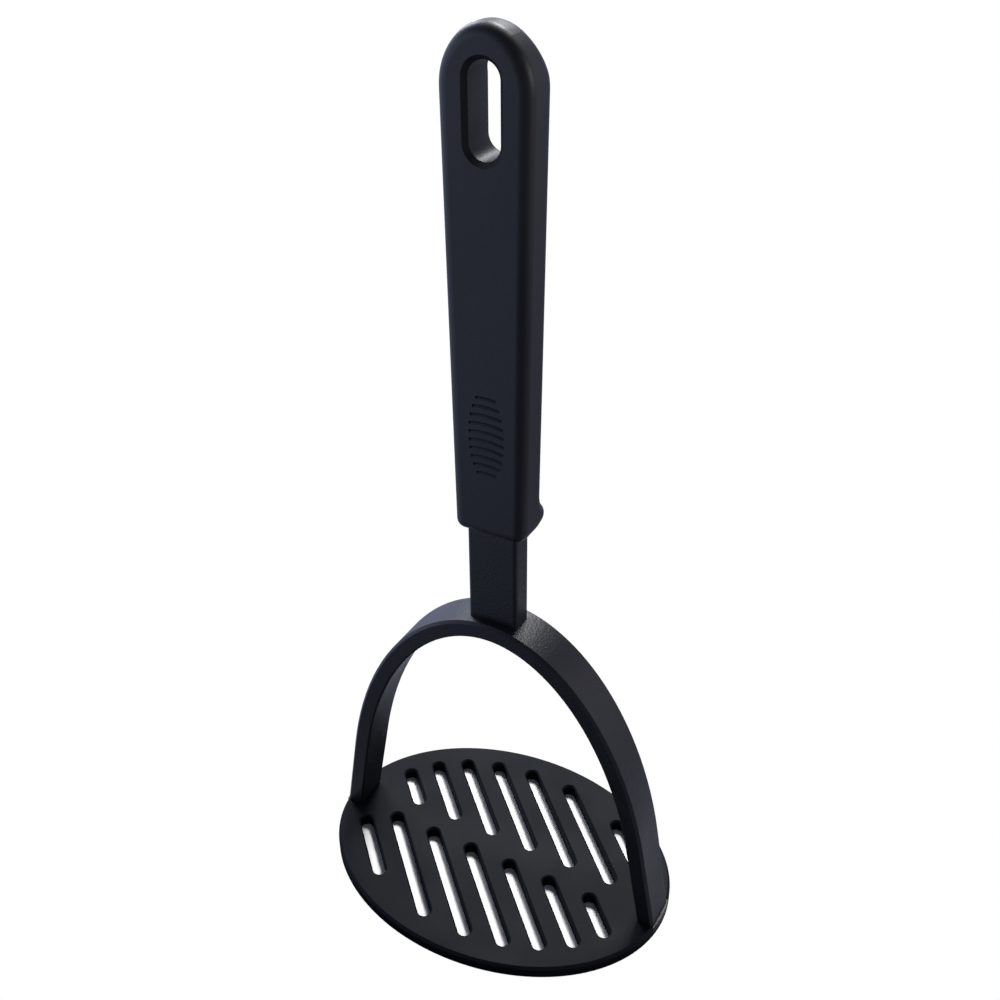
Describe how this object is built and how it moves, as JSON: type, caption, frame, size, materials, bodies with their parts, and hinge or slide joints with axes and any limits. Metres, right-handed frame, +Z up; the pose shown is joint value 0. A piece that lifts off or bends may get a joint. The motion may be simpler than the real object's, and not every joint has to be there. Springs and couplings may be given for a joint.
{
  "type": "potato masher",
  "caption": "One-handed potato masher in dark nylon: oval slotted plate under an arched strap, short shank and flat handle with hanging hole, thumb grooves and finger stop.",
  "frame": {"origin": "centre of the plate's underside, on the surface that the masher stands on", "axes": "+Z up along the handle, X along the plate's long way and across the handle's width, -Y the front with the thumb grooves"},
  "size_m": [0.1156, 0.087, 0.2646],
  "materials": {
    "plate_nylon": "satin moulded nylon, near black with a slight blue cast",
    "arch_nylon": "satin moulded nylon with a fine texture on its outer face",
    "handle_nylon": "satin moulded nylon with smooth rounded edges"
  },
  "bodies": {
    "root": {"mashing_plate": "plate_nylon", "arch_frame": "arch_nylon", "handle": "handle_nylon"}
  },
  "joints": []
}
